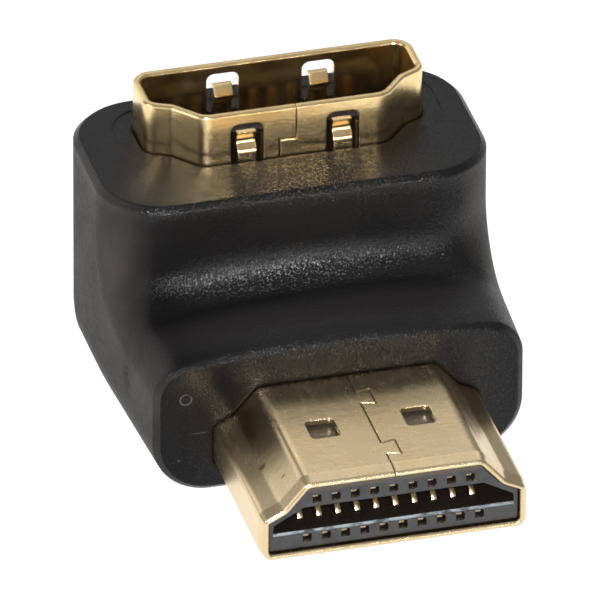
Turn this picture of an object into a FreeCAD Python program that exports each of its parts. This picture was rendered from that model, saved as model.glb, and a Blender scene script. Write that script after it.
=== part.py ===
import FreeCAD, Part
import Sketcher
import math
import os
import re

# A right-angle adapter for a 19-contact audio and video plug.
# The flat plug points along -Y, the socket opens along +Z, and the moulded
# elbow between them rests on its flat underside.
# Origin: centre of the whole adapter's footprint, on the underside. Millimetres.

V = FreeCAD.Vector

# Two places closer than this are the same place
NEAR = 1e-3

# Driving dimensions: name, millimetres (or a plain count)
SIZES = (
    # outline shared by plug, socket and everything that follows them
    ("plug_width", 13.9),
    ("plug_height", 4.45),
    ("side_height", 2.5),
    ("shoulder_inset", 1.1),
    ("shoulder_height", 3.05),
    ("narrow_inset", 2.3),
    ("wide_corner", 0.6),
    ("side_corner", 0.5),
    ("shoulder_curve", 0.6),
    ("narrow_corner", 0.7),
    # plug shell
    ("plug_length", 9.5),
    ("plug_hold", 3.4),
    ("plug_wall", 0.3),
    ("plug_lift", 1.35),
    ("tip_draw", 0.12),
    ("tip_taper", 0.8),
    ("rim_bevel", 0.1),
    ("latch_spacing", 5.0),
    ("latch_width", 1.5),
    ("latch_length", 1.7),
    ("latch_setback", 4.0),
    ("latch_corner", 0.25),
    ("seam_gap", 0.05),
    ("tab_reach", 0.75),
    ("tab_width", 1.0),
    ("tab_flare", 0.2),
    ("first_tab", 2.25),
    ("second_tab", 7.2),
    # plug insulator and its contacts
    ("face_recess", 0.3),
    ("flange_start", 1.0),
    ("insulator_end", 1.5),
    ("cavity_floor", 1.38),
    ("cavity_roof", 2.82),
    ("cavity_inset", 0.65),
    ("cavity_knee", 1.95),
    ("cavity_top_inset", 2.25),
    ("cavity_depth", 7.4),
    ("cavity_bevel", 0.18),
    ("cell_width", 0.46),
    ("cell_height", 0.45),
    ("cell_wall", 1.3),
    ("low_row", 1.0),
    ("high_row", 3.25),
    ("row_inset", 1.95),
    ("wide_count", 10),
    ("narrow_count", 9),
    ("contact_width", 0.3),
    ("contact_thick", 0.2),
    ("contact_setback", 0.35),
    ("contact_flat", 1.1),
    ("contact_rise", 0.9),
    ("contact_crest", 0.6),
    ("contact_fall", 2.0),
    ("contact_proud", 0.15),
    ("tail_jog", 0.7),
    ("tail_length", 1.5),
    # circuit board
    ("board_edge", 0.4),
    ("board_start", 4.3),
    ("board_back", 2.3),
    ("board_thick", 1.0),
    ("board_corner", 0.5),
    # socket
    ("mating_clear", 0.05),
    ("socket_wall", 0.4),
    ("socket_back", 2.85),
    ("socket_height", 11.825),
    ("window_spacing", 5.05),
    ("window_width", 1.72),
    ("window_drop", 0.68),
    ("back_window_drop", 0.5),
    ("window_foot", 5.6),
    ("window_corner", 0.4),
    ("finger_width", 1.0),
    ("finger_thick", 0.3),
    ("finger_straight", 2.25),
    ("finger_dip_drop", 1.85),
    ("finger_dip", 0.42),
    ("finger_tip_drop", 1.2),
    ("finger_root", 0.3),
    ("seam_step", 0.83),
    ("seam_step_drop", 1.9),
    ("seam_wide_gap", 0.16),
    ("leg_thick_room", 0.08),
    ("leg_long", 0.8),
    ("leg_first", 0.2),
    ("leg_second", 1.6),
    ("base_gap", 0.25),
    ("base_height", 2.6),
    ("tongue_inset", 0.85),
    ("tongue_thick", 1.0),
    ("tongue_recess", 2.2),
    ("tongue_bevel", 0.25),
    ("strip_width", 0.4),
    ("strip_setback", 0.5),
    ("strip_bury", 0.1),
    ("strip_thick", 0.2),
    ("foot_length", 0.9),
    # moulded elbow
    ("mould_shift", 0.35),
    ("front_width", 19.4),
    ("elbow_width", 20.5),
    ("widest_at", 9.4),
    ("side_bend", 40),
    ("leg_height", 8.05),
    ("body_height", 13.0),
    ("body_depth", 17.9),
    ("leg_front", 6.4),
    ("leg_crown", 0.75),
    ("back_crown", 0.6),
    ("inner_curve", 2.0),
    ("outer_curve", 3.6),
    ("bottom_round", 3.0),
    ("back_round", 3.7),
    ("leg_round", 2.0),
    ("riser_round", 3.4),
    ("end_bevel", 0.3),
    ("ring_offset", 1.05),
    ("ring_step", 0.06),
    ("entry_gap", 0.09),
    # inner mould
    ("core_side", 0.5),
    ("core_front", 1.2),
    ("core_back_wall", 1.5),
    ("core_floor", 0.9),
    ("core_leg_top", 6.8),
    ("core_top", 11.2),
    ("core_riser_wall", 1.15),
    ("solder_room", 0.4),
)

# Sizes that follow the ones above by a named inset or clearance
FOLLOWERS = (
    ("shoulder_width", "=plug_width - 2 * shoulder_inset"),
    ("narrow_width", "=plug_width - 2 * narrow_inset"),
    ("cavity_width", "=plug_width - 2 * cavity_inset"),
    ("cavity_top_width", "=plug_width - 2 * cavity_top_inset"),
    ("pitch", "=(plug_width - 2 * row_inset) / wide_count"),
    ("tongue_width", "=plug_width - 2 * tongue_inset"),
    ("board_width", "=plug_width + 2 * (mating_clear + socket_wall + board_edge)"),
    ("core_width", "=board_width + 2 * core_side"),
    ("socket_place", "=body_depth - socket_back"),
    ("board_length", "=body_depth - board_start - board_back"),
    ("core_riser", "=socket_place - plug_height - mating_clear - socket_wall - core_riser_wall"),
)

doc = FreeCAD.newDocument("RightAngleAdapter")
sheet = doc.addObject("Spreadsheet::Sheet", "Sizes")
for row, (alias, value) in enumerate(SIZES + FOLLOWERS, start=1):
    sheet.set("A%d" % row, alias.replace("_", " "))
    sheet.set("B%d" % row, str(value))
    sheet.setAlias("B%d" % row, alias)
doc.recompute()

ALIASES = re.compile(r"\b(%s)\b" % "|".join(alias for alias, _ in SIZES + FOLLOWERS))

# Places that several pieces share, written in terms of the sizes
FRONT = "(plug_length - body_depth) / 2"
BOARD_FLOOR = "(plug_lift + (low_row + high_row) / 2 - board_thick / 2)"
BOARD_TOP = "(plug_lift + (low_row + high_row) / 2 + board_thick / 2)"
PLUG_PLACE = ("mould_shift", FRONT, "plug_lift")
BODY_PLACE = (None, FRONT, None)
SOCKET_PLACE = ("mould_shift", FRONT + " + socket_place", BOARD_TOP)
SOCKET_INNER = "mating_clear"
SOCKET_OUTER = "(mating_clear + socket_wall)"
TONGUE_MID = "((cavity_floor + cavity_roof) / 2)"
ROOM = "(elbow_width / 2 + outer_curve)"
ROUND = "PartDesign::Fillet"
BEVEL = "PartDesign::Chamfer"


def link(text):
    """An expression in which every size name points at its cell."""
    return ALIASES.sub(r"Sizes.\1", text)


def amount(text):
    """The present value of an expression, in millimetres."""
    return float(sheet.evalExpression(link(text)))


def bind(thing, **formulas):
    """Ties properties of an object to expressions."""
    for name, text in formulas.items():
        thing.setExpression(name, link(text))


def place(thing, where):
    """Ties an object's position to expressions for x, y and z."""
    for axis, text in zip("xyz", where):
        if text is not None:
            thing.setExpression(".Placement.Base." + axis, link(text))


def body(label, where):
    """An empty body with its label and place."""
    piece = doc.addObject("PartDesign::Body", label)
    piece.Label = label
    place(piece, where)
    return piece


def sketch_on(piece, name, role, lift=None):
    """A sketch on one of the body's origin planes, lifted off it along its normal."""
    sketch = piece.newObject("Sketcher::SketchObject", name)
    plane = [item for item in piece.Origin.OriginFeatures if item.Role == role][0]
    sketch.AttachmentSupport = [(plane, "")]
    sketch.MapMode = "FlatFace"
    if lift is not None:
        sketch.setExpression(".AttachmentOffset.Base.z", link(lift))
    return sketch


def corner_arc(before, corner, after, radius):
    """The arc that rounds a corner, its two ends in walking order, and whether it turns left."""
    inward = (before - corner).normalize()
    onward = (after - corner).normalize()
    half = inward.getAngle(onward) / 2
    run = radius / math.tan(half)
    centre = corner + (inward + onward).normalize() * (radius / math.sin(half))
    ends = (corner + inward * run, corner + onward * run)
    turns_left = inward.cross(onward).z < 0
    first, last = (end - centre for end in (ends if turns_left else ends[::-1]))
    start = math.atan2(first.y, first.x)
    finish = math.atan2(last.y, last.x)
    if finish < start:
        finish += 2 * math.pi
    circle = Part.Circle(centre, V(0, 0, 1), radius)
    return Part.ArcOfCircle(circle, start, finish), ends, turns_left


def outline(sketch, corners, radii=None):
    """A closed outline through corners (pairs of expressions), each rounded or sharp (None)."""
    count = len(corners)
    radii = radii or [None] * count
    points = [V(amount(across), amount(up), 0) for across, up in corners]
    bends = []
    for index, radius in enumerate(radii):
        after = points[(index + 1) % count]
        if radius is None:
            bends.append((None, (points[index], points[index]), True))
        else:
            bends.append(corner_arc(points[index - 1], points[index], after, amount(radius)))
    starts = [ends[1] for _, ends, _ in bends]
    finishes = [ends[0] for _, ends, _ in bends[1:] + bends[:1]]
    edges = [Part.LineSegment(start, finish) for start, finish in zip(starts, finishes)]
    lines = sketch.addGeometry(edges, False)
    marks = sketch.addGeometry([Part.Point(point) for point in points], True)
    rules = []
    formulas = []

    def rule(formula, *terms):
        rules.append(Sketcher.Constraint(*terms))
        formulas.append(formula)

    for index, radius in enumerate(radii):
        before, after, mark = lines[index - 1], lines[index], marks[index]
        rule(corners[index][0], "DistanceX", -1, 1, mark, 1, points[index].x)
        rule(corners[index][1], "DistanceY", -1, 1, mark, 1, points[index].y)
        if radius is None:
            rule(None, "Coincident", before, 2, mark, 1)
            rule(None, "Coincident", after, 1, mark, 1)
            continue
        shape, _, turns_left = bends[index]
        arc = sketch.addGeometry(shape, False)
        first, last = (1, 2) if turns_left else (2, 1)
        rule(None, "Tangent", before, 2, arc, first)
        rule(None, "Tangent", arc, last, after, 1)
        rule(radius, "Radius", arc, amount(radius))
        rule(None, "PointOnObject", mark, 1, before)
        rule(None, "PointOnObject", mark, 1, after)
    sketch.addConstraint(rules)
    for index, formula in enumerate(formulas):
        if formula is not None:
            sketch.setExpression("Constraints[%d]" % index, link(formula))


def box_corners(left, right, low, high):
    """Corners of an upright rectangle."""
    return [(left, low), (right, low), (right, high), (left, high)]


def shell_outline(sketch, grow, side=1):
    """The plug's outline, grown by an offset; side -1 lays it over towards the sketch's -Y."""
    slope = "atan2(shoulder_height - side_height; (plug_width - shoulder_width) / 2)"
    cheek = "atan2(plug_height - shoulder_height; (shoulder_width - narrow_width) / 2)"
    spread = "(1 + cos(%s - %s))" % (cheek, slope)
    half = [
        ("plug_width / 2 + {g}", "-{g}", "wide_corner + {g}"),
        ("plug_width / 2 + {g}", "side_height + {g} * tan(45 deg - {a} / 2)", "side_corner + {g}"),
        ("shoulder_width / 2 + {g} * (sin({a}) + sin({b})) / {s}",
         "shoulder_height + {g} * (cos({a}) + cos({b})) / {s}",
         "max(shoulder_curve - {g}; shoulder_curve / 4)"),
        ("narrow_width / 2 + {g} * tan({b} / 2)", "plug_height + {g}", "narrow_corner + {g}"),
    ]
    names = {"g": grow, "a": slope, "b": cheek, "s": spread}
    half = [tuple(text.format(**names) for text in corner) for corner in half]
    flip = "-(%s)" if side < 0 else "%s"
    right = [(across, flip % up) for across, up, _ in half]
    left = [("-(%s)" % across, up) for across, up in reversed(right)]
    radii = [radius for _, _, radius in half]
    outline(sketch, right + left, radii + radii[::-1])


def pad(piece, name, sketch, length, backwards=False, both=False):
    """Adds the sketch's outline, drawn out to a length."""
    feature = piece.newObject("PartDesign::Pad", name)
    feature.Profile = sketch
    feature.Reversed = backwards
    feature.Midplane = both
    bind(feature, Length=length)
    doc.recompute()
    return feature


def pocket(piece, name, sketch, length, backwards=False, both=False):
    """Takes the sketch's outline away, and makes sure that it did."""
    before = piece.Shape.Volume
    feature = piece.newObject("PartDesign::Pocket", name)
    feature.Profile = sketch
    feature.Reversed = backwards
    feature.Midplane = both
    bind(feature, Length=length)
    doc.recompute()
    if piece.Shape.Volume >= before:
        raise ValueError(name + " of " + piece.Label + " cuts nothing")
    return feature


def repeat(piece, name, feature, sketch, count, step):
    """Repeats a feature along the sketch's horizontal axis."""
    pattern = piece.newObject("PartDesign::LinearPattern", name)
    pattern.Originals = [feature]
    pattern.Direction = (sketch, ["H_Axis"])
    bind(pattern, Length="(%s - 1) * %s" % (count, step), Occurrences=count)
    piece.Tip = pattern
    doc.recompute()
    return pattern


def soften(piece, name, radius, chosen, kind=ROUND):
    """Rounds or bevels the edges of the body that the rule chooses."""
    base = piece.Tip
    names = []
    for index, edge in enumerate(base.Shape.Edges, start=1):
        if chosen(edge.BoundBox):
            names.append("Edge%d" % index)
    if not names:
        raise ValueError(name + " of " + piece.Label + " finds no edge")
    feature = piece.newObject(kind, name)
    feature.Base = (base, names)
    bind(feature, **{"Radius" if kind == ROUND else "Size": radius})
    doc.recompute()
    return feature


def plug_prism(piece, name, grow, front, back):
    """The plug's outline as a prism; front and back are distances along -Y from the elbow's face."""
    sketch = sketch_on(piece, name + "Outline", "XZ_Plane", back)
    shell_outline(sketch, grow)
    return pad(piece, name, sketch, "%s - (%s)" % (front, back))


def socket_prism(piece, name, grow, low, high):
    """The socket's outline as a prism between two heights above the board."""
    sketch = sketch_on(piece, name + "Outline", "XY_Plane", low)
    shell_outline(sketch, grow, -1)
    return pad(piece, name, sketch, "%s - (%s)" % (high, low))


def seam_path():
    """Joint line of the plug shell: distances across and along the shell, with two dovetail tabs."""
    reach = amount("tab_reach")
    neck = amount("tab_width / 2")
    head = amount("tab_width / 2 + tab_flare")
    path = [V(0, amount("-plug_length - seam_gap"), 0)]
    for middle in (amount("first_tab"), amount("second_tab")):
        centre = middle - amount("plug_length")
        path.append(V(0, centre - neck, 0))
        path.append(V(reach, centre - head, 0))
        path.append(V(reach, centre + head, 0))
        path.append(V(0, centre + neck, 0))
    path.append(V(0, amount("plug_hold + seam_gap"), 0))
    return path


def ribbon(path, width):
    """A face of even width along a path, with mitred turns."""
    sides = ([], [])
    for index, point in enumerate(path):
        before = path[max(index - 1, 0)]
        after = path[min(index + 1, len(path) - 1)]
        runs = [run.normalize() for run in (point - before, after - point) if run.Length > 0]
        normals = [V(-run.y, run.x, 0) for run in runs]
        total = normals[0] + normals[-1]
        mitre = total * (width / total.dot(total))
        sides[0].append(point + mitre)
        sides[1].append(point - mitre)
    corners = sides[0] + sides[1][::-1]
    return Part.Face(Part.makePolygon(corners + corners[:1]))


def loft(piece, name, kind, grows, lifts):
    """Joins two shell outlines at two heights above the plug's plane, or takes the space away."""
    ends = []
    for suffix, grow, lift in zip(("Near", "Far"), grows, lifts):
        ends.append(sketch_on(piece, name + suffix, "XZ_Plane", lift))
        shell_outline(ends[-1], grow)
    feature = piece.newObject(kind, name)
    feature.Profile = ends[0]
    feature.Sections = [ends[1]]
    feature.Ruled = True
    doc.recompute()
    return feature


def plug_shell():
    """Folded sheet tube: drawn-in tip, four latch windows and a dovetailed seam."""
    piece = body("plug_shell_tube", PLUG_PLACE)
    straight = "plug_length - tip_taper"
    plug_prism(piece, "Sheet", "0", straight, "-plug_hold")
    loft(piece, "DrawnTip", "PartDesign::AdditiveLoft", ("0", "-tip_draw"), (straight, "plug_length"))
    bore = sketch_on(piece, "BoreOutline", "XZ_Plane", straight)
    shell_outline(bore, "-plug_wall")
    pocket(piece, "Bore", bore, "plug_length + plug_hold")
    inside = ("-plug_wall", "(-plug_wall - tip_draw)")
    loft(piece, "DrawnBore", "PartDesign::SubtractiveLoft", inside, (straight, "plug_length"))
    for name, side in (("Left", -1), ("Right", 1)):
        window = sketch_on(piece, name + "LatchOutline", "XY_Plane")
        middle = "%d * latch_spacing / 2" % side
        near = "-plug_length + latch_setback"
        corners = box_corners(middle + " - latch_width / 2", middle + " + latch_width / 2",
                              near, near + " + latch_length")
        outline(window, corners, ["latch_corner"] * 4)
        pocket(piece, name + "Latch", window, "plug_height * 3", both=True)
    tip = amount("-plug_length")
    soften(piece, "TipRim", "rim_bevel", lambda box: box.YMax < tip + NEAR, BEVEL)
    slit = doc.addObject("Part::Feature", "PlugSeam")
    band = ribbon(seam_path(), amount("seam_gap"))
    slit.Shape = band.extrude(V(0, 0, amount("plug_height / 2")))
    corner = V(*(amount(text) for text in PLUG_PLACE)) + V(0, 0, amount("plug_height * 3 / 4"))
    slit.Placement = FreeCAD.Placement(corner, FreeCAD.Rotation())
    return cut("plug_shell", piece, [slit])


def cut(label, base, tools):
    """One solid with others taken away from it."""
    result = doc.addObject("Part::Cut", label)
    result.Label = label
    result.Base = base
    if len(tools) == 1:
        result.Tool = tools[0]
    else:
        joined = doc.addObject("Part::Compound", label + "_tools")
        joined.Links = tools
        result.Tool = joined
    doc.recompute()
    return result


def plug_insulator():
    """Moulded contact holder: nose, rear flange, mating cavity and a cell for each contact."""
    piece = body("plug_insulator", PLUG_PLACE)
    face = "(plug_length - face_recess)"
    plug_prism(piece, "Nose", "(-plug_wall - tip_draw - mating_clear)", face, "flange_start")
    plug_prism(piece, "Flange", "-plug_wall", "flange_start", "-insulator_end")
    cavity = sketch_on(piece, "CavityOutline", "XZ_Plane", face)
    half = [("cavity_width / 2", "cavity_floor"), ("cavity_width / 2 - mating_clear", "cavity_knee"),
            ("cavity_top_width / 2", "cavity_roof")]
    mirrored = [("-(%s)" % across, up) for across, up in reversed(half)]
    outline(cavity, half + mirrored)
    pocket(piece, "Cavity", cavity, "cavity_depth")
    front = -amount(face)
    floor = amount("cavity_floor")
    soften(piece, "Lip", "cavity_bevel",
           lambda box: box.YMax < front + NEAR and abs(box.ZMin - floor) + abs(box.ZMax - floor) < NEAR,
           BEVEL)
    for name, row, count, inner in (("Low", "low_row", "wide_count", "cavity_floor"),
                                    ("High", "high_row", "narrow_count", "cavity_roof")):
        left = "(1 - %s) * pitch / 2 - cell_width / 2" % count
        right = "(1 - %s) * pitch / 2 + cell_width / 2" % count
        cell = sketch_on(piece, name + "CellOutline", "XZ_Plane", face)
        corners = box_corners(left, right, row + " - cell_height / 2", row + " + cell_height / 2")
        outline(cell, corners)
        whole = pocket(piece, name + "Cell", cell, "plug_length + insulator_end")
        repeat(piece, name + "Cells", whole, cell, count, "pitch")
        mouth = sketch_on(piece, name + "SlotOutline", "XZ_Plane", face + " - cell_wall")
        outline(mouth, box_corners(left, right, row, inner))
        slot = pocket(piece, name + "Slot", mouth, "cavity_depth - cell_wall")
        repeat(piece, name + "Slots", slot, mouth, count, "pitch")
    return piece


def plug_spacer():
    """Rear contact holder, which closes the shell behind the insulator."""
    piece = body("plug_spacer", PLUG_PLACE)
    plug_prism(piece, "Block", "-plug_wall", "-insulator_end", "-plug_hold")
    for name, row, count in (("Low", "low_row", "wide_count"), ("High", "high_row", "narrow_count")):
        left = "(1 - %s) * pitch / 2 - contact_width / 2" % count
        right = "(1 - %s) * pitch / 2 + contact_width / 2" % count
        hole = sketch_on(piece, name + "HoleOutline", "XZ_Plane", "-insulator_end")
        corners = box_corners(left, right, strip_face(row, -1), strip_face(row, 1))
        outline(hole, corners)
        first = pocket(piece, name + "Hole", hole, "plug_hold")
        repeat(piece, name + "Holes", first, hole, count, "pitch")
    return piece


def strip_face(row, side):
    """Height of one face of a plug contact's straight stretch."""
    return "(%s %s contact_thick / 2)" % (row, "+" if side > 0 else "-")


def strip_outline(path, shift):
    """A strip's outline: a path, and the same path shifted back, as (along, up) expressions."""
    return path + [(along, "(%s) + %s" % (up, shift)) for along, up in reversed(path)]


def plug_contacts():
    """Stamped strips of both rows: tip, sprung crest, straight stretch and a tail on the board."""
    rows = (("low_row", "wide_count", "cavity_floor", "-", 1, 1),
            ("high_row", "narrow_count", "cavity_roof", "+", -1, 11))
    pieces = []
    for row, count, wall, sign, side, first in rows:
        inner = strip_face(row, side)
        crest = "(%s %s contact_proud)" % (wall, "+" if side > 0 else "-")
        board = "(%s - plug_lift)" % (BOARD_FLOOR if side > 0 else BOARD_TOP)
        tip = "(-plug_length + face_recess + contact_setback)"
        rise = "(%s + contact_flat)" % tip
        peak = "(%s + contact_rise)" % rise
        path = [(tip, inner), (rise, inner), (peak, crest), (peak + " + contact_crest", crest),
                (peak + " + contact_crest + contact_fall", inner), ("plug_hold", inner),
                ("plug_hold + tail_jog", board), ("plug_hold + tail_jog + tail_length", board)]
        shift = "(%scontact_thick)" % ("-" if side > 0 else "")
        profile = doc.addObject("Sketcher::SketchObject", row + "_profile")
        profile.Placement = FreeCAD.Placement(V(), FreeCAD.Rotation(V(1, 1, 1), 120))
        corners = strip_outline(path, shift)
        outline(profile, corners)
        for index in range(int(amount(count))):
            across = "mould_shift + (%d - (%s - 1) / 2) * pitch" % (index, count)
            where = (across,) + PLUG_PLACE[1:]
            pieces.append(strip("plug_contact_%02d" % (first + index), profile, "contact_width", where))
    return pieces


def strip(label, profile, width, where):
    """A flat profile given a width about its middle, at its place."""
    piece = doc.addObject("Part::Extrusion", label)
    piece.Label = label
    piece.Base = profile
    piece.DirMode = "Custom"
    piece.Dir = V(1, 0, 0)
    piece.Solid = True
    piece.Symmetric = True
    bind(piece, LengthFwd=width)
    place(piece, where)
    return piece


def socket_shell():
    """Folded sheet tube on the board: windows, spring fingers, stepped seam and board legs."""
    piece = body("socket_shell", SOCKET_PLACE)
    socket_prism(piece, "Sheet", SOCKET_OUTER, "socket_height", "0")
    bore = sketch_on(piece, "BoreOutline", "XY_Plane", "socket_height")
    shell_outline(bore, SOCKET_INNER, -1)
    pocket(piece, "Bore", bore, "socket_height * 2")
    rim = amount("socket_height")
    soften(piece, "Rim", "rim_bevel", lambda box: box.ZMin > rim - NEAR, BEVEL)
    for name, side in (("Left", -1), ("Right", 1)):
        middle = "%d * window_spacing / 2" % side
        for face, drop, forward in (("Front", "window_drop", True), ("Back", "back_window_drop", False)):
            window = sketch_on(piece, name + face + "WindowOutline", "XZ_Plane", "plug_height / 2")
            corners = box_corners(middle + " - window_width / 2", middle + " + window_width / 2",
                                  "socket_height - window_foot", "socket_height - " + drop)
            outline(window, corners, ["finger_root / 2", "finger_root / 2", "window_corner", "window_corner"])
            pocket(piece, name + face + "Window", window, "plug_height", backwards=forward)
    seam = sketch_on(piece, "SeamOutline", "XZ_Plane", "plug_height / 2")
    step = "socket_height - seam_step_drop"
    corners = [("seam_gap", "socket_height + plug_wall"), ("seam_gap * 2", "socket_height + plug_wall"),
               ("seam_gap * 2", step), ("-seam_step + seam_gap", step),
               ("-seam_step + seam_gap", "-plug_wall"), ("-seam_step - seam_wide_gap", "-plug_wall"),
               ("-seam_step - seam_gap / 2", step + " + seam_gap"), ("seam_gap", step + " + seam_gap")]
    outline(seam, corners)
    pocket(piece, "Seam", seam, "plug_height", backwards=True)
    for name, side in (("Left", -1), ("Right", 1)):
        for face, wall, toward in (("Front", "-(plug_height + %s)" % SOCKET_OUTER, 1),
                                   ("Back", SOCKET_OUTER, -1)):
            finger(piece, name + face + "Finger", side, wall, toward)
    legs(piece)
    return piece


def finger(piece, name, side, wall, toward):
    """A spring finger in its window: straight, dipped into the socket, with the tip turned out."""
    sketch = sketch_on(piece, name + "Outline", "YZ_Plane", "%d * window_spacing / 2" % side)
    lean = "(%s)" % wall + (" + %s" if toward > 0 else " - %s")
    outer = [(wall, "socket_height - window_foot - finger_root"),
             (wall, "socket_height - finger_straight"),
             (lean % "finger_dip", "socket_height - finger_dip_drop"),
             (lean % "finger_dip / 4", "socket_height - finger_tip_drop")]
    shift = "%sfinger_thick" % ("" if toward > 0 else "-")
    inner = [("(%s) + (%s)" % (across, shift), up) for across, up in reversed(outer)]
    radii = [None, "finger_thick", "finger_thick", None]
    outline(sketch, outer + inner, radii + radii[::-1])
    return pad(piece, name, sketch, "finger_width", both=True)


def legs(piece):
    """Four legs of the socket shell, down through the board's slots."""
    for name, side in (("Left", -1), ("Right", 1)):
        for order, start in (("First", "leg_first"), ("Second", "leg_second")):
            sketch = sketch_on(piece, name + order + "LegOutline", "XY_Plane")
            outline(sketch, leg_corners(side, start, "0"))
            pad(piece, name + order + "Leg", sketch, "board_thick", backwards=True)


def leg_corners(side, start, room):
    """Outline of a board leg, or of its slot when there is room around it."""
    inner = "%d * (plug_width / 2 + %s - %s)" % (side, SOCKET_INNER, room)
    outer = "%d * (plug_width / 2 + %s + %s)" % (side, SOCKET_OUTER, room)
    return box_corners(inner, outer, "-(%s) - leg_long - %s" % (start, room), "-(%s) + %s" % (start, room))


def socket_insulator():
    """Moulded base block and the tongue that carries both rows of strips."""
    piece = body("socket_insulator", SOCKET_PLACE)
    socket_prism(piece, "Base", SOCKET_INNER, "base_height", "base_gap")
    top = "(socket_height - tongue_recess)"
    tongue = sketch_on(piece, "TongueOutline", "XY_Plane", "base_gap")
    near = "-%s - tongue_thick / 2" % TONGUE_MID
    far = "-%s + tongue_thick / 2" % TONGUE_MID
    outline(tongue, box_corners("-tongue_width / 2", "tongue_width / 2", near, far))
    pad(piece, "Tongue", tongue, top + " - base_gap")
    height = amount(top)
    soften(piece, "TongueTip", "tongue_bevel", lambda box: box.ZMin > height - NEAR, BEVEL)
    for name, count, side in (("Wide", "wide_count", 1), ("Narrow", "narrow_count", -1)):
        left = "(1 - %s) * pitch / 2 - strip_width / 2" % count
        right = "(1 - %s) * pitch / 2 + strip_width / 2" % count
        groove = sketch_on(piece, name + "GrooveOutline", "XY_Plane", top + " - strip_setback")
        outline(groove, box_corners(left, right, *strip_walls(side)))
        first = pocket(piece, name + "Groove", groove, "socket_height")
        repeat(piece, name + "Grooves", first, groove, count, "pitch")
    return piece


def strip_walls(side):
    """The two faces of a socket strip: buried in the tongue, and standing proud of it."""
    face = "(%d * tongue_thick / 2 - %s)" % (side, TONGUE_MID)
    buried = "%s - (%d * strip_bury)" % (face, side)
    proud = "%s + (%d * (strip_thick - strip_bury))" % (face, side)
    return buried, proud


def socket_contacts():
    """Strips on both faces of the tongue, each with a foot on the board."""
    pieces = []
    rows = (("wide_strip", "wide_count", 1, 1), ("narrow_strip", "narrow_count", -1, 11))
    for name, count, side, first in rows:
        buried, proud = strip_walls(side)
        foot = "%s + (%d * foot_length)" % (proud, side)
        top = "socket_height - tongue_recess - strip_setback"
        profile = doc.addObject("Sketcher::SketchObject", name + "_profile")
        profile.Placement = FreeCAD.Placement(V(), FreeCAD.Rotation(V(1, 1, 1), 120))
        corners = [(buried, "0"), (foot, "0"), (foot, "strip_thick"), (proud, "strip_thick"),
                   (proud, top), (buried, top)]
        outline(profile, corners)
        for index in range(int(amount(count))):
            across = "mould_shift + (%d - (%s - 1) / 2) * pitch" % (index, count)
            where = (across,) + SOCKET_PLACE[1:]
            pieces.append(strip("socket_contact_%02d" % (first + index), profile, "strip_width", where))
    return pieces


def circuit_board():
    """Board between the two connectors, slotted for the socket's legs."""
    piece = body("circuit_board", ("mould_shift", FRONT, BOARD_FLOOR))
    plan = sketch_on(piece, "Plan", "XY_Plane")
    corners = box_corners("-board_width / 2", "board_width / 2", "board_start", "board_start + board_length")
    outline(plan, corners, ["board_corner"] * 4)
    pad(piece, "Sheet", plan, "board_thick")
    for name, side in (("Left", -1), ("Right", 1)):
        for order, start in (("First", "leg_first"), ("Second", "leg_second")):
            slot = sketch_on(piece, name + order + "SlotOutline", "XY_Plane")
            corners = leg_corners(side, start, "leg_thick_room")
            outline(slot, [(across, "socket_place + " + along) for across, along in corners])
            pocket(piece, name + order + "Slot", slot, "board_thick * 2", both=True)
    return piece


def core():
    """Outer form of the inner mould: a low block under a riser that holds the socket."""
    piece = body("inner_mould_block", BODY_PLACE)
    side = sketch_on(piece, "Side", "YZ_Plane")
    back = "body_depth - core_back_wall"
    corners = [("core_front", "core_floor"), (back, "core_floor"), (back, "core_top"),
               ("core_riser", "core_top"), ("core_riser", "core_leg_top"), ("core_front", "core_leg_top")]
    outline(side, corners, [None, "outer_curve - core_back_wall"] + [None] * 4)
    pad(piece, "Block", side, "core_width", both=True)
    return piece


def crown(top, rise):
    """A crowned edge across the elbow: height of its corner and of its far ends, and its radius."""
    names = {"c": rise, "h": top, "w": ROOM}
    names["b"] = "((elbow_width ^ 2 / 4 + {c} ^ 2) / (2 * {c}))".format(**names)
    names["a"] = "(elbow_width / 2 + inner_curve / 2)"
    names["d"] = "sqrt({b} ^ 2 - {a} ^ 2)".format(**names)
    names["p"] = "({h} + {b} * ({b} / {d} - 1))".format(**names)
    return names["p"], "{p} - {w} * {a} / {d}".format(**names), names["b"]


def trim_side(piece, name, sign):
    """Trims one side: it narrows evenly from the widest place to the front face."""
    sketch = sketch_on(piece, name + "Outline", "XY_Plane")
    slope = "((elbow_width - front_width) / 2 / widest_at)"
    corners = [("elbow_width / 2", "widest_at"), ("front_width / 2 - outer_curve * " + slope, "-outer_curve"),
               (ROOM + " * 2", "-outer_curve"), (ROOM + " * 2", "body_depth + outer_curve"),
               ("elbow_width / 2", "body_depth + outer_curve")]
    corners = [("%s(%s)" % (sign, across), along) for across, along in corners]
    outline(sketch, corners, ["side_bend", None, None, None, None])
    pocket(piece, name, sketch, "body_height * 4", both=True)


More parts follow.
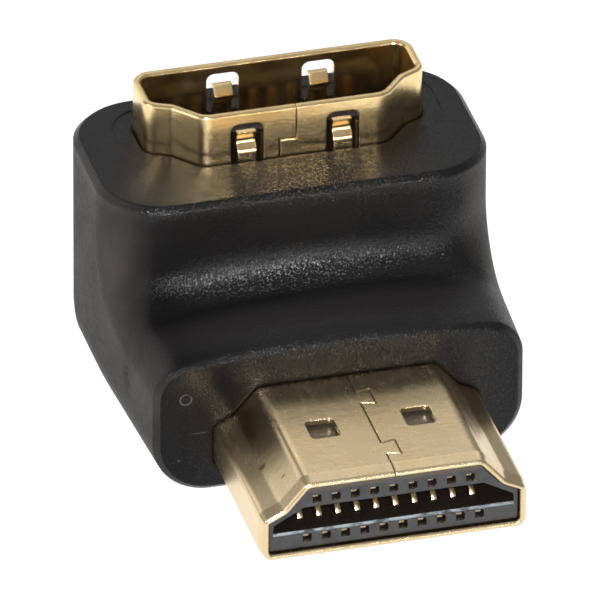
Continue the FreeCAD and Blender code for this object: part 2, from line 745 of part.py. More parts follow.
def elbow_blank():
    """Moulded elbow: two crowned legs, tapering sides and rounded edges."""
    piece = body("overmould_blank", BODY_PLACE)
    left = "-(%s)" % ROOM
    front = sketch_on(piece, "LowLegOutline", "XZ_Plane")
    peak, far, bend = crown("leg_height", "leg_crown")
    corners = [(left, "0"), (ROOM, "0"), (ROOM, far), ("0", peak), (left, far)]
    outline(front, corners, [None, None, None, bend, None])
    pad(piece, "LowLeg", front, "(leg_front + body_depth) / 2", backwards=True)
    plan = sketch_on(piece, "HighLegOutline", "XY_Plane")
    peak, far, bend = crown("body_depth", "back_crown")
    corners = [(left, "leg_front"), (ROOM, "leg_front"), (ROOM, far), ("0", peak), (left, far)]
    outline(plan, corners, [None, None, None, bend, None])
    pad(piece, "HighLeg", plan, "body_height")
    trim_side(piece, "LeftSide", "-")
    trim_side(piece, "RightSide", "")
    half = amount("elbow_width / 2")
    soften(piece, "InnerCorner", "inner_curve",
           lambda box: box.XLength > half and box.ZMin > amount("leg_height / 2")
           and box.ZMax < amount("leg_height") + NEAR and box.YMin > amount("leg_front") - NEAR
           and box.YMax < amount("leg_front") + NEAR)
    soften(piece, "OuterCorner", "outer_curve",
           lambda box: box.XLength > half and box.ZMax < NEAR and box.YMin > amount("leg_front"))
    return round_elbow(piece)


def edge_round(point):
    """Radius of the elbow's long edges at a point: it grows round both bends of the elbow."""
    if point.y > amount("(leg_front + body_depth) / 2"):
        start, finish = amount("bottom_round"), amount("back_round")
        share = point.z / amount("outer_curve")
    elif point.z < amount("leg_height / 2"):
        return amount("bottom_round")
    else:
        start, finish = amount("leg_round"), amount("riser_round")
        share = (point.y - amount("leg_front - inner_curve")) / amount("inner_curve")
    return start + (finish - start) * max(0, min(1, share))


def round_elbow(blank):
    """Rounds the elbow's long edges, from the front face to the top face."""
    side = amount("front_width / 2 - plug_wall")
    top = amount("body_height")
    front = amount(FRONT)
    chosen = []
    for index, edge in enumerate(blank.Shape.Edges, start=1):
        box = edge.BoundBox
        beside = box.XMin > side or box.XMax < -side
        on_end = box.YMax < front + NEAR or box.ZMin > top - NEAR
        from_widest = abs(box.YMin - front - amount("widest_at"))
        on_bend = box.ZLength > top / 2 and from_widest < amount("inner_curve")
        if beside and not on_end and not on_bend:
            marks = (edge.FirstParameter, edge.LastParameter)
            ends = [edge.valueAt(mark) - V(0, front, 0) for mark in marks]
            chosen.append((index,) + tuple(edge_round(end) for end in ends))
    rounded = doc.addObject("Part::Fillet", "elbow_rounded")
    rounded.Base = blank
    rounded.Edges = chosen
    doc.recompute()
    bevelled = doc.addObject("Part::Chamfer", "elbow_bevelled")
    bevelled.Base = rounded
    bevel = amount("end_bevel")
    rims = []
    for index, edge in enumerate(rounded.Shape.Edges, start=1):
        box = edge.BoundBox
        if box.YMax < front + NEAR or box.ZMin > top - NEAR:
            rims.append((index, bevel, bevel))
    bevelled.Edges = rims
    doc.recompute()
    return bevelled


def entries():
    """Space round the two shells in the elbow's wall, and the shallow band round the socket."""
    plug = body("plug_entry", PLUG_PLACE)
    plug_prism(plug, "Hole", "entry_gap", "plug_wall", "-core_front - plug_wall")
    socket = body("socket_entry", SOCKET_PLACE)
    above = "body_height - %s + plug_wall" % BOARD_TOP
    hole = "(%s + entry_gap)" % SOCKET_OUTER
    socket_prism(socket, "Hole", hole, above, "core_top - %s - plug_wall" % BOARD_TOP)
    band = "(%s + ring_offset)" % SOCKET_OUTER
    socket_prism(socket, "Band", band, above, "body_height - %s - ring_step" % BOARD_TOP)
    return [plug, socket]


def fills():
    """Space in the inner mould for both connectors, and for the soldered tails between them."""
    plug = body("plug_fill", PLUG_PLACE)
    plug_prism(plug, "Fill", "0", "0", "-plug_hold")
    tails = sketch_on(plug, "TailOutline", "XZ_Plane", "-plug_hold")
    left = "-(wide_count * pitch / 2 + solder_room)"
    right = "wide_count * pitch / 2 + solder_room"
    low = strip_face("low_row", -1) + " - solder_room"
    high = strip_face("high_row", 1) + " + solder_room"
    outline(tails, box_corners(left, right, low, high))
    pad(plug, "Tails", tails, "tail_jog + tail_length + solder_room", backwards=True)
    socket = body("socket_fill", SOCKET_PLACE)
    socket_prism(socket, "Fill", SOCKET_OUTER, "core_top - %s + plug_wall" % BOARD_TOP, "0")
    return [plug, socket]


def checked(pieces):
    """Stops the build when any object of the document has failed or any piece is not one sound solid."""
    for thing in doc.Objects:
        if {"Invalid", "Error"} & set(thing.State):
            raise ValueError(thing.Label + " has failed")
    for piece in pieces:
        if piece.Shape.isNull() or not piece.Shape.isValid():
            raise ValueError(piece.Label + " has no sound shape")
        if len(piece.Shape.Solids) != 1:
            raise ValueError("%s has %d solids" % (piece.Label, len(piece.Shape.Solids)))
    return pieces


plug_strips = plug_contacts()
socket_strips = socket_contacts()
board = circuit_board()
tube = socket_shell()
block = core()
overmould = cut("overmould_body", elbow_blank(), [block] + entries())
inner_mould = cut("inner_mould", block, fills() + [board, tube])
nodes = [overmould, inner_mould, board, plug_shell(), plug_insulator(), plug_spacer()]
nodes += plug_strips + [tube, socket_insulator()] + socket_strips
doc.recompute()

os.makedirs("parts", exist_ok=True)
for node in checked(nodes):
    node.Shape.exportStep("parts/%s.step" % node.Label)
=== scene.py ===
import bmesh
import bpy
import math
from mathutils import Matrix, Vector


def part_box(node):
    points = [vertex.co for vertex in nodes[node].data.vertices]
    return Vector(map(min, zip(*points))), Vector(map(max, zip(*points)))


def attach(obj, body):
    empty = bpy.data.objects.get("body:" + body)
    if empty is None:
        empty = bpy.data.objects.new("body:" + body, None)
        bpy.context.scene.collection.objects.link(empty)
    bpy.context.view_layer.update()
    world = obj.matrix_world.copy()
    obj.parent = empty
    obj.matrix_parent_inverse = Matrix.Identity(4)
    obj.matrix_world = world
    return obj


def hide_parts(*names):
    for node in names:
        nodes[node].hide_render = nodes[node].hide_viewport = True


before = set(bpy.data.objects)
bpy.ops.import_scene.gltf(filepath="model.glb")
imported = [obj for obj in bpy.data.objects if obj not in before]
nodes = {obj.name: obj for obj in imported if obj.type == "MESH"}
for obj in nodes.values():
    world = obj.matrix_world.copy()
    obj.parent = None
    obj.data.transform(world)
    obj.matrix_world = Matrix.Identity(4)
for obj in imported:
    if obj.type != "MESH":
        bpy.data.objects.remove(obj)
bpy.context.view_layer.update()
MM = 0.001
MM_PER_METRE = 1000

# Zones of the elbow, in millimetres: centre, weight of each axis, the weighted
# distances at which the zone starts to fade and ends, and its strength
# SLOPE is where the low leg's sloping top is given painted light, a lighter colour
SLOPE = ((1.0, -1.7, 7.4), (0.09, 0.42, 1.0), 0.75, 1.15, 1.0)
# CREASE raises the shine and places painted highlight dots in the crease
CREASE = ((-1.5, 1.8, 8.7), (0.095, 0.45, 0.85), 0.15, 0.78, 1.0)
CREASE_LEFT_END = ((-8.5, 1.8, 8.6), (1, 0.5, 0.6), 0.9, 1.9, 0.8)
# SOCKET_APRON places the painted reflection of the gold shell round the socket
SOCKET_APRON = ((0, 3.6, 13.0), (0.16, 0.6, 2.0), 0.6, 1.4, 1.0)
RISER_FRONT = ((-0.5, 2.2, 11.2), (0.08, 1, 0.75), 0.75, 1.1, 0.4)
LEFT_OF_PLUG = ((-6.4, -4.2, 5.6), (1, 1, 0.8), 0.6, 1.8, 0.65)
SCRATCH = ((-7.35, -4.2, 3.53), (1, 1, 22), 0.3, 0.6, 0.7)

# Marks on the elbow's left side and front, in millimetres
DIRT_CENTRE = (-10.25, 0.35, 4.4)
DIRT_WEIGHTS = (0.2, 1.2, 0.75)
RING_CENTRE = (-8.06, -4.2, 5.61)
RING_RADIUS = 0.30

# The elbow's ends are duller: outward from its middle line and below its top, in millimetres
ORIGIN = (0, 0, 0)
MIDDLE_LINE = (1.8, 0, 0)
ALONG_X = (1, 0, 0)
ALONG_Z = (0, 0, 1)
ENDS_RISE = (5.0, 10.0)
TOP_FADE = (12.0, 12.7)

# Stains on the plug's left slope: centre in millimetres, weight of each axis, size, strength
PLUG_STAINS = (
    ((-5.5, -9.55, 0), (1, 0.8, 0), 0.20, 0.8),
    ((-4.95, -11.6, 0), (1, 1, 0), 0.12, 0.8),
    ((-5.35, -5.6, 0), (1.2, 0.36, 0), 0.75, 0.55),
)

# Contact holders, in metres. A holder has painted shade behind its front face; the socket's
# holder has painted shade throughout, so its value lies in front of the whole part.
PLUG_FACE_END = -0.01338
SOCKET_FACE_END = -0.1
FACE_FADE = 0.0001
# Above this height a holder takes its upper tone, which in the socket's holder is painted shade
UPPER_RISE = (0.0050, 0.0051)
# Where the plug holder's bevelled lower lip gets its painted highlight, in metres
LIP_RISE = (0.00260, 0.00266)
LIP_FALL = (0.00274, 0.00280)
LIP_BACK = (-0.01322, -0.01318)

# Linear colours
PLASTIC_DARK = (0.0052, 0.0049, 0.0050)
PLASTIC_LIGHT = (0.0075, 0.0070, 0.0069)
# Painted glint: lighter dots on the peaks of the grain
PAINTED_GRAIN_GLINT = (0.020, 0.019, 0.017)
# Painted light on the low leg's sloping top
SLOPE_PAINTED_LIGHT = (0.0170, 0.0155, 0.0160)
# Painted highlight: bright grain dots in the crease
CREASE_PAINTED_GLINT = (0.125, 0.125, 0.13)
# Painted reflection of the gold shell, as gold dots on the plastic round the socket
APRON_PAINTED_REFLECTION = (0.050, 0.041, 0.024)
# Painted light on the elbow's two sides, lighter than its front
SIDE_PAINTED_LIGHT_DIM = (0.025, 0.0230, 0.0218)
SIDE_PAINTED_LIGHT_BRIGHT = (0.046, 0.0425, 0.0400)
DIRT = (0.004, 0.004, 0.004)
SCUFF = (0.060, 0.060, 0.058)
SOCKET_GOLD = (1.0, 0.755, 0.40)
PLUG_GOLD = (0.80, 0.635, 0.395)
CONTACT_GOLD = (1.0, 0.80, 0.50)
WARMER = (0.93, 0.90, 0.82)
GOLD_PIT = (0.20, 0.13, 0.06)
GOLD_STAIN = (0.16, 0.10, 0.05)
HOLDER_DARK = (0.019, 0.019, 0.020)
HOLDER_LIGHT = (0.042, 0.040, 0.040)
# Painted shade inside a contact holder, behind its front face
HOLDER_PAINTED_SHADE = (0.014, 0.0100, 0.0080)
PLUG_HOLDER_TOP = (0.055, 0.043, 0.030)
# Painted shade over the upper part of the socket's holder, deep in its shell
SOCKET_HOLDER_PAINTED_SHADE = (0.007, 0.0045, 0.0035)
# Painted highlight on the bevelled lower lip of the plug's holder
LIP_PAINTED_HIGHLIGHT = (0.26, 0.30, 0.32)
FILLER_DARK = (0.02, 0.02, 0.02)
FILLER_LIGHT = (0.035, 0.034, 0.033)
MASK_DARK = (0.010, 0.075, 0.030)
MASK_LIGHT = (0.016, 0.105, 0.045)
FLOOR_DARK = (0.12, 0.12, 0.12)
FLOOR_LIGHT = (0.14, 0.14, 0.14)


class Graph:
    """A material's node tree, with short ways to add and join nodes."""

    def __init__(self, name):
        self.material = bpy.data.materials.new(name)
        self.material.use_nodes = True
        self.tree = self.material.node_tree
        self.shader = self.tree.nodes["Principled BSDF"]
        on_piece = self.add("ShaderNodeTexCoord")
        self.place = on_piece.outputs["Object"]
        self.turn = on_piece.outputs["Normal"]

    def add(self, kind, **settings):
        """A new node with the given settings."""
        node = self.tree.nodes.new(kind)
        for key, value in settings.items():
            setattr(node, key, value)
        return node

    def join(self, source, target):
        """Links an output to an input."""
        self.tree.links.new(source, target)

    def drive(self, **sources):
        """Links outputs to the shader's inputs."""
        for key, source in sources.items():
            self.join(source, self.shader.inputs[key.replace("_", " ")])

    def set(self, **values):
        """Sets inputs of the shader."""
        for key, value in values.items():
            self.shader.inputs[key.replace("_", " ")].default_value = value

    def split(self, vector):
        """The three numbers of a vector, by their axes."""
        node = self.add("ShaderNodeSeparateXYZ")
        self.join(vector, node.inputs[0])
        return node.outputs

    def noise(self, scale, detail, rough, stretch=None):
        """Noise over the piece; scale is in bumps per metre."""
        node = self.add("ShaderNodeTexNoise")
        node.inputs["Scale"].default_value = scale
        node.inputs["Detail"].default_value = detail
        node.inputs["Roughness"].default_value = rough
        place = self.place
        if stretch:
            shift = self.add("ShaderNodeMapping")
            shift.inputs["Scale"].default_value = stretch
            self.join(place, shift.inputs["Vector"])
            place = shift.outputs["Vector"]
        self.join(place, node.inputs["Vector"])
        return node.outputs["Fac"]

    def ramp(self, source, low, dark, high, light):
        """Turns a number into a colour: dark below low, light above high."""
        node = self.add("ShaderNodeValToRGB")
        for element, where, colour in zip(node.color_ramp.elements, (low, high), (dark, light)):
            element.position = where
            element.color = (*colour, 1)
        self.join(source, node.inputs["Fac"])
        return node.outputs["Color"]

    def spread(self, source, low, high, out_low, out_high):
        """Maps a number from one range to another, held at both ends."""
        node = self.add("ShaderNodeMapRange")
        ends = {"From Min": low, "From Max": high, "To Min": out_low, "To Max": out_high}
        for key, value in ends.items():
            node.inputs[key].default_value = value
        self.join(source, node.inputs["Value"])
        return node.outputs["Result"]

    def rises(self, source, low, high):
        """Nought below low and one above high."""
        return self.spread(source, low, high, 0.0, 1.0)

    def falls(self, source, low, high, top=1.0):
        """The top value below low and nought above high."""
        return self.spread(source, low, high, top, 0.0)

    def mix(self, factor, one, other):
        """Mixes two colours, each a socket or a tuple."""
        node = self.add("ShaderNodeMix", data_type="RGBA")
        self.join(factor, node.inputs["Factor"])
        for value, key in ((one, 6), (other, 7)):
            if isinstance(value, tuple):
                node.inputs[key].default_value = (*value, 1)
            else:
                self.join(value, node.inputs[key])
        return node.outputs[2]

    def sums(self, kind, one, other):
        """Arithmetic on two numbers, each a socket or a plain number."""
        node = self.add("ShaderNodeMath", operation=kind)
        for value, key in ((one, 0), (other, 1)):
            if isinstance(value, (int, float)):
                node.inputs[key].default_value = value
            else:
                self.join(value, node.inputs[key])
        return node.outputs[0]

    def times(self, one, other):
        """The product of two numbers."""
        return self.sums("MULTIPLY", one, other)

    def scaled_to(self, value, mask, share):
        """A number that goes to a share of itself where the mask is one."""
        return self.times(value, self.spread(mask, 0.0, 1.0, 1.0, share))

    def reach(self, point, weights=(1, 1, 1)):
        """Distance in millimetres from a point, with each axis weighted."""
        shift = self.add("ShaderNodeMapping")
        shift.inputs["Scale"].default_value = [MM_PER_METRE * weight for weight in weights]
        shift.inputs["Location"].default_value = [-value * weight for value, weight in zip(point, weights)]
        self.join(self.place, shift.inputs["Vector"])
        length = self.add("ShaderNodeVectorMath", operation="LENGTH")
        self.join(shift.outputs["Vector"], length.inputs[0])
        return length.outputs["Value"]

    def zone(self, point, weights, inner, outer, strength):
        """A mask round a point that fades out between two distances."""
        return self.falls(self.reach(point, weights), inner, outer, strength)

    def specks(self, scale, size, share):
        """Small round dots in a share of the cells of a random grid."""
        cells = self.add("ShaderNodeTexVoronoi")
        cells.inputs["Scale"].default_value = scale
        self.join(self.place, cells.inputs["Vector"])
        chance = self.add("ShaderNodeSeparateColor")
        self.join(cells.outputs["Color"], chance.inputs["Color"])
        dots = self.falls(cells.outputs["Distance"], 0.5 * size, size)
        return self.times(dots, self.rises(chance.outputs["Red"], 1 - share, 1.01 - share))

    def soft_edges(self, radius):
        """Normals that run round the piece's sharp edges."""
        node = self.add("ShaderNodeBevel", samples=6)
        node.inputs["Radius"].default_value = radius
        return node.outputs["Normal"]

    def bump(self, source, height, strength, under=None):
        """A relief of a real height in metres."""
        node = self.add("ShaderNodeBump")
        node.inputs["Strength"].default_value = strength
        node.inputs["Distance"].default_value = height
        self.join(source, node.inputs["Height"])
        if under is not None:
            self.join(under, node.inputs["Normal"])
        return node.outputs["Normal"]


def plastic_tone(g, grain, coarse, side, spark, crease):
    """Colour of the elbow: near black, with painted light on the sides and the sloping top, painted
    glints, a painted gold reflection, dirt and scuffs.
    """
    cloud = g.noise(scale=350, detail=3, rough=0.6)
    tone = g.ramp(cloud, 0.3, PLASTIC_DARK, 0.7, PLASTIC_LIGHT)
    # Painted glint: lighter colour on the peaks of the grain
    tone = g.mix(spark, tone, PAINTED_GRAIN_GLINT)
    # Painted light: the low leg's sloping top is made lighter in colour
    tone = g.mix(g.zone(*SLOPE), tone, SLOPE_PAINTED_LIGHT)
    # Painted highlight: bright dots of grain in the crease
    painted_glint = g.times(crease, g.spread(grain, 0.54, 0.68, 0.0, 0.9))
    tone = g.mix(painted_glint, tone, CREASE_PAINTED_GLINT)
    # Painted reflection of the gold shell: gold dots of grain round the socket
    painted_glint = g.times(g.zone(*SOCKET_APRON), g.spread(grain, 0.54, 0.68, 0.0, 0.8))
    tone = g.mix(painted_glint, tone, APRON_PAINTED_REFLECTION)
    # Painted light: the two sides are lighter in colour than the front
    side_painted_light = g.ramp(g.noise(scale=210, detail=3, rough=0.6), 0.35, SIDE_PAINTED_LIGHT_DIM, 0.62, SIDE_PAINTED_LIGHT_BRIGHT)
    tone = g.mix(side, tone, side_painted_light)
    ragged = g.sums("ADD", g.reach(DIRT_CENTRE, DIRT_WEIGHTS), g.noise(scale=2600, detail=3, rough=0.7))
    tone = g.mix(g.falls(ragged, 0.85, 1.30, top=0.6), tone, DIRT)
    off_ring = g.sums("ABSOLUTE", g.sums("SUBTRACT", g.reach(RING_CENTRE), RING_RADIUS), 0)
    ring = g.times(g.falls(off_ring, 0.02, 0.06), g.spread(coarse, 0.36, 0.52, 0.1, 1.0))
    marks = g.sums("MAXIMUM", ring, g.zone(*SCRATCH))
    marks = g.sums("MAXIMUM", marks, g.specks(scale=620, size=0.045, share=0.45))
    return g.mix(marks, tone, SCUFF)


def plastic_shine(g, grain, side, crease):
    """Specular level of the elbow, higher in the crease and lower in its dull places."""
    shine = g.spread(grain, 0.42, 0.66, 0.20, 0.38)
    shine = g.scaled_to(shine, side, 0.22)
    shine = g.scaled_to(shine, crease, 1.15)
    dull = g.sums("MAXIMUM", g.zone(*CREASE_LEFT_END), g.zone(*LEFT_OF_PLUG))
    shine = g.scaled_to(shine, dull, 0.0)
    shine = g.scaled_to(shine, g.zone(*RISER_FRONT), 0.0)
    outward = g.rises(g.reach(MIDDLE_LINE, ALONG_X), *ENDS_RISE)
    below_top = g.falls(g.reach(ORIGIN, ALONG_Z), *TOP_FADE, top=0.62)
    return g.scaled_to(shine, g.times(outward, below_top), 0.0)


def black_plastic():
    """Moulded plastic with a fine spark-eroded grain, duller on the two sides."""
    g = Graph("black_plastic")
    grain = g.noise(scale=9000, detail=2, rough=0.6)
    coarse = g.noise(scale=3200, detail=2, rough=0.6)
    spark = g.rises(grain, 0.66, 0.76)
    side = g.rises(g.sums("ABSOLUTE", g.split(g.turn)["X"], 0), 0.32, 0.90)
    crease = g.zone(*CREASE)
    rough = g.sums("ADD", g.spread(coarse, 0.35, 0.7, 0.13, 0.21), g.times(spark, 0.12))
    fine = g.bump(grain, height=0.00005, strength=0.75, under=g.soft_edges(radius=0.0003))
    g.drive(
        Base_Color=plastic_tone(g, grain, coarse, side, spark, crease),
        Roughness=g.sums("ADD", rough, g.times(side, 0.22)),
        Specular_IOR_Level=plastic_shine(g, grain, side, crease),
        Normal=g.bump(coarse, height=0.00004, strength=0.15, under=fine),
    )
    return g.material


def gold(name, rough, tint, edge=0.00012, stains=(), wave=0.35):
    """Thin gold plating over stamped sheet, lightly smudged."""
    g = Graph(name)
    warm = tuple(part * share for part, share in zip(tint, WARMER))
    cloud = g.noise(scale=260, detail=4, rough=0.6)
    tone = g.mix(g.rises(cloud, 0.35, 0.7), tint, warm)
    pit = g.spread(g.noise(scale=4200, detail=2, rough=0.5), 0.735, 0.765, 0.0, 0.5)
    tone = g.mix(pit, tone, GOLD_PIT)
    for point, weights, size, strength in stains:
        ragged = g.times(g.noise(scale=1500, detail=3, rough=0.65), 0.9 * size)
        spot = g.sums("ADD", g.reach(point, weights), ragged)
        tone = g.mix(g.falls(spot, 0.8 * size, 1.5 * size, strength), tone, GOLD_STAIN)
    smear = g.noise(scale=700, detail=4, rough=0.65, stretch=(1, 0.35, 1))
    brushed = g.noise(scale=2600, detail=3, rough=0.6)
    fine = g.bump(brushed, height=0.000012, strength=0.5, under=g.soft_edges(radius=edge))
    waves = g.noise(scale=420, detail=2, rough=0.5)
    g.drive(
        Base_Color=tone,
        Roughness=g.spread(smear, 0.3, 0.75, rough - 0.02, rough + 0.06),
        Normal=g.bump(waves, height=0.00001, strength=wave, under=fine),
    )
    g.set(Metallic=1.0)
    return g.material


def dark_insulator(name, face_end, upper_tone):
    """Glass-filled moulding of a contact holder, with painted shade behind its front face."""
    g = Graph(name)
    grain = g.noise(scale=5000, detail=3, rough=0.6)
    cloud = g.noise(scale=900, detail=4, rough=0.65)
    tone = g.ramp(cloud, 0.3, HOLDER_DARK, 0.75, HOLDER_LIGHT)
    spot = g.split(g.place)
    # Painted shade behind the holder's front face
    tone = g.mix(g.rises(spot["Y"], face_end, face_end + FACE_FADE), tone, HOLDER_PAINTED_SHADE)
    # The upper part takes its upper tone; in the socket's holder this is painted shade
    tone = g.mix(g.rises(spot["Z"], *UPPER_RISE), tone, upper_tone)
    # The bevelled lower lip at the mouth of the plug's cavity, with a painted highlight broken into
    # patches
    lip = g.rises(g.split(g.turn)["Z"], 0.25, 0.55)
    lip = g.times(lip, g.rises(spot["Z"], *LIP_RISE))
    lip = g.times(lip, g.falls(spot["Z"], *LIP_FALL))
    lip = g.times(lip, g.falls(spot["Y"], *LIP_BACK))
    patches = g.noise(scale=2200, detail=3, rough=0.7, stretch=(0.5, 1, 1))
    lip_highlight_share = g.spread(patches, 0.38, 0.58, 0.15, 1.0)
    g.drive(
        Base_Color=g.mix(g.times(lip, lip_highlight_share), tone, LIP_PAINTED_HIGHLIGHT),
        Roughness=g.spread(grain, 0.3, 0.7, 0.22, 0.42),
        Normal=g.bump(grain, height=0.00003, strength=0.8, under=g.soft_edges(radius=0.0001)),
    )
    return g.material


def inner_plastic():
    """Inner mould and spacer, unseen from outside."""
    g = Graph("inner_plastic")
    grain = g.noise(scale=4000, detail=2, rough=0.6)
    cloud = g.noise(scale=500, detail=2, rough=0.5)
    g.drive(
        Base_Color=g.ramp(cloud, 0.3, FILLER_DARK, 0.7, FILLER_LIGHT),
        Roughness=g.spread(grain, 0.3, 0.7, 0.45, 0.65),
        Normal=g.bump(grain, height=0.00002, strength=0.5),
    )
    return g.material


def board():
    """Solder mask over a woven laminate."""
    g = Graph("board")
    bands = g.add("ShaderNodeTexWave", wave_type="BANDS", bands_direction="DIAGONAL")
    bands.inputs["Scale"].default_value = 900
    bands.inputs["Distortion"].default_value = 1.5
    g.join(g.place, bands.inputs["Vector"])
    weave = bands.outputs["Fac"]
    g.drive(
        Base_Color=g.ramp(weave, 0.2, MASK_DARK, 0.8, MASK_LIGHT),
        Roughness=g.spread(g.noise(scale=2500, detail=2, rough=0.5), 0.3, 0.7, 0.28, 0.42),
        Normal=g.bump(weave, height=0.00001, strength=0.3),
    )
    return g.material


contact_gold = gold("gold_contact", rough=0.30, tint=CONTACT_GOLD, edge=0.00003)
filler = inner_plastic()
finishes = {
    "overmould_body": black_plastic(),
    "plug_shell": gold("gold_plug", rough=0.25, tint=PLUG_GOLD, stains=PLUG_STAINS),
    "socket_shell": gold("gold_socket", rough=0.18, tint=SOCKET_GOLD, wave=1.0),
    "plug_insulator": dark_insulator("dark_insulator", PLUG_FACE_END, PLUG_HOLDER_TOP),
    # The socket's holder is given painted shade throughout
    "socket_insulator": dark_insulator("socket_insulator", SOCKET_FACE_END, SOCKET_HOLDER_PAINTED_SHADE),
    "plug_spacer": filler,
    "inner_mould": filler,
    "circuit_board": board(),
}

for name, node in nodes.items():
    node.data.materials.clear()
    node.data.materials.append(contact_gold if "contact" in name else finishes[name])


# Plug contacts seen from the side, in millimetres along Y, from the tip to the tail
TIP = -13.05
RISE = -12.08
CREST = -11.2
CREST_END = -10.6
FALL_END = -8.45
HOLD = -0.8
JOG_END = -0.1
TAIL_END = 1.4
ARCH_STEPS = 10

# Their section, and the heights in each row of the flat run, the crest and the seat on the
# board; the strip's thickness goes down from these in the low row and up in the high row
STRIP_HALF = 0.15
STRIP_THICK = 0.2
STRIP_EDGE = 0.03
LOW_ROW = {"flat": 2.45, "crest": 3.13, "seat": 2.975, "toward": -1}
HIGH_ROW = {"flat": 4.50, "crest": 3.77, "seat": 3.975, "toward": 1}
LOW_COUNT = 10
CONTACT_COUNT = 19


def strip_path(flat, crest, seat):
    """The strip's face from tip to tail: straight, an arched crest, straight, and to the board."""
    points = [(TIP, flat), (RISE, flat)]
    for step in range(1, ARCH_STEPS + 1):
        turn = step / ARCH_STEPS * math.pi / 2
        along = RISE + (CREST - RISE) * (1 - math.cos(turn))
        points.append((along, flat + (crest - flat) * math.sin(turn)))
    for step in range(ARCH_STEPS + 1):
        share = step / ARCH_STEPS
        ease = 0.5 - 0.5 * math.cos(math.pi * share)
        along = CREST_END + (FALL_END - CREST_END) * share
        points.append((along, crest + (flat - crest) * ease))
    return points + [(HOLD, flat), (JOG_END, seat), (TAIL_END, seat)]


def strip_mesh(name, middle, row):
    """A closed strip with bevelled edges, swept along its path; middle is its place across."""
    half, thick, edge = STRIP_HALF, STRIP_THICK, STRIP_EDGE
    section = [(-half, edge), (edge - half, 0), (half - edge, 0), (half, edge),
               (half, thick - edge), (half - edge, thick), (edge - half, thick), (-half, thick - edge)]
    path = strip_path(row["flat"], row["crest"], row["seat"])
    points = []
    for along, up in path:
        for across, depth in section:
            points.append((middle + across * MM, along * MM, (up + row["toward"] * depth) * MM))
    faces = []
    count = len(section)
    for ring in range(len(path) - 1):
        base = ring * count
        for corner in range(count):
            after = (corner + 1) % count
            faces.append((base + corner, base + after, base + count + after, base + count + corner))
    faces.append(tuple(range(count)))
    faces.append(tuple(len(points) - 1 - corner for corner in range(count)))
    mesh = bpy.data.meshes.new(name)
    mesh.from_pydata(points, [], faces)
    work = bmesh.new()
    work.from_mesh(mesh)
    bmesh.ops.recalc_face_normals(work, faces=work.faces)
    work.to_mesh(mesh)
    work.free()
    for face in mesh.polygons:
        face.use_smooth = len(face.vertices) == 4
    return mesh


def arched_contact(node, row):
    """A plug contact with a rounded crest, in place of the solid with a folded one."""
    low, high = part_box(node)
    mesh = strip_mesh(node + "_arched", (low[0] + high[0]) / 2, row)
    mesh.materials.append(contact_gold)
    piece = bpy.data.objects.new(node + "_arched", mesh)
    bpy.context.scene.collection.objects.link(piece)
    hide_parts(node)
    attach(piece, "root")


for number in range(1, CONTACT_COUNT + 1):
    arched_contact("plug_contact_%02d" % number, LOW_ROW if number <= LOW_COUNT else HIGH_ROW)


# The floor is a disc of rings a hair under the part, in metres
FLOOR_LEVEL = -0.00002
FLOOR_REACH = 3.0
FLOOR_RINGS = 24
FLOOR_SIDES = 96
FLOOR_GLOW = 0.98


def floor():
    """Pale, faintly glowing ground under the part."""
    g = Graph("floor")
    g.drive(Base_Color=g.ramp(g.noise(scale=8, detail=2, rough=0.5), 0.0, FLOOR_DARK, 1.0, FLOOR_LIGHT))
    g.set(Roughness=0.9, Specular_IOR_Level=0.1, Emission_Color=(1, 1, 1, 1), Emission_Strength=FLOOR_GLOW)
    points = [(0.0, 0.0, FLOOR_LEVEL)]
    for ring in range(1, FLOOR_RINGS + 1):
        reach = FLOOR_REACH * (ring / FLOOR_RINGS) ** 2
        for side in range(FLOOR_SIDES):
            turn = 2 * math.pi * side / FLOOR_SIDES
            points.append((reach * math.cos(turn), reach * math.sin(turn), FLOOR_LEVEL))
    faces = []
    for side in range(FLOOR_SIDES):
        after = (side + 1) % FLOOR_SIDES
        faces.append((0, 1 + side, 1 + after))
        for ring in range(FLOOR_RINGS - 1):
            inner = 1 + ring * FLOOR_SIDES
            outer = inner + FLOOR_SIDES
            faces.append((inner + side, outer + side, outer + after, inner + after))
    mesh = bpy.data.meshes.new("floor")
    mesh.from_pydata(points, [], faces)
    mesh.materials.append(g.material)
    piece = bpy.data.objects.new("floor", mesh)
    bpy.context.scene.collection.objects.link(piece)


# Soft lights, in metres and watts: name, place, width and height, power
SOFTBOXES = (
    ("back", (0.15, 0.50, 0.475), (0.6, 0.25), 0.42),
    ("front", (-0.17, -0.60, 0.40), (0.07, 0.05), 7.0),
    ("low front", (0.15, -0.70, 0.185), (0.07, 0.05), 0.7),
    ("left", (-0.55, -0.1, 0.30), (0.35, 0.35), 1.0),
    ("back left", (-0.27, 0.45, 0.165), (0.3, 0.22), 0.17),
    ("over", (0.1, -0.05, 0.8), (0.5, 0.5), 0.18),
)
LIT_POINT = Vector((0, 0, 0.007))
SKY_STRENGTH = 0.27


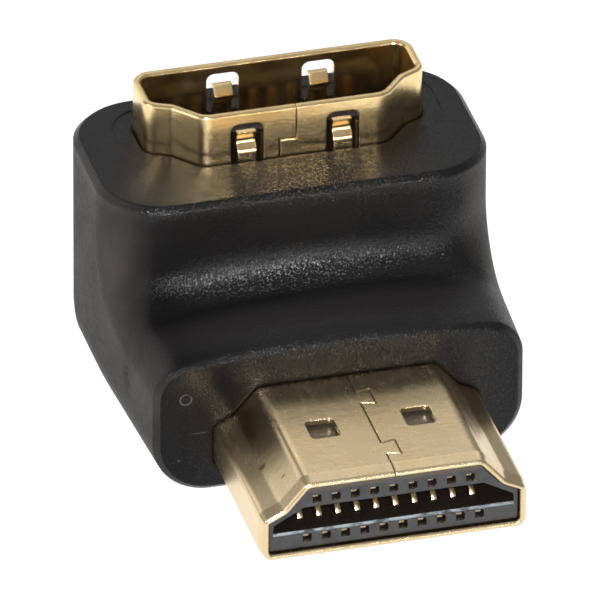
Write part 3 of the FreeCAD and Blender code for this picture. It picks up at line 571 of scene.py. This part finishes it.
def softbox(name, place, size, power):
    """A soft area light that looks at the part."""
    data = bpy.data.lights.new(name, "AREA")
    data.shape = "RECTANGLE"
    data.size, data.size_y = size
    data.energy = power
    lamp = bpy.data.objects.new(name, data)
    lamp.location = place
    lamp.rotation_mode = "QUATERNION"
    lamp.rotation_quaternion = (LIT_POINT - Vector(place)).to_track_quat("-Z", "Y")
    bpy.context.scene.collection.objects.link(lamp)


def studio():
    """Even white surroundings."""
    world = bpy.data.worlds.new("studio")
    world.use_nodes = True
    sky = world.node_tree.nodes["Background"]
    sky.inputs["Color"].default_value = (1, 1, 1, 1)
    sky.inputs["Strength"].default_value = SKY_STRENGTH
    bpy.context.scene.world = world
    bpy.context.scene.view_settings.view_transform = "Standard"


# The photograph's view: angles in degrees, the middle of the picture in
# millimetres, the distance in metres, and the focal length in pixels
VIEW_TURN = -15.13
VIEW_RISE = 31.41
VIEW_ROLL = 0.256
VIEW_MIDDLE = (-4.673, -13.7, 16.635)
VIEW_DISTANCE = 0.8905
FOCAL_PIXELS = 17848
PHOTO_PIXELS = 600
SENSOR_WIDTH = 36


def camera():
    """A long lens, a little left of and above the plug."""
    turn, rise, roll = (math.radians(angle) for angle in (VIEW_TURN, VIEW_RISE, VIEW_ROLL))
    back = Vector((math.sin(turn) * math.cos(rise), -math.cos(turn) * math.cos(rise), math.sin(rise)))
    right = Vector((math.cos(turn), math.sin(turn), 0))
    up = back.cross(right)
    across = right * math.cos(roll) + up * math.sin(roll)
    upward = up * math.cos(roll) - right * math.sin(roll)
    data = bpy.data.cameras.new("camera")
    data.sensor_width = SENSOR_WIDTH
    data.lens = FOCAL_PIXELS / PHOTO_PIXELS * SENSOR_WIDTH
    data.clip_start, data.clip_end = 0.01, 50
    eye = bpy.data.objects.new("camera", data)
    spin = Matrix((across, upward, back)).transposed()
    place = Vector(VIEW_MIDDLE) * MM + back * VIEW_DISTANCE
    eye.matrix_world = Matrix.Translation(place) @ spin.to_4x4()
    bpy.context.scene.collection.objects.link(eye)
    bpy.context.scene.camera = eye


floor()
camera()
for settings in SOFTBOXES:
    softbox(*settings)
studio()
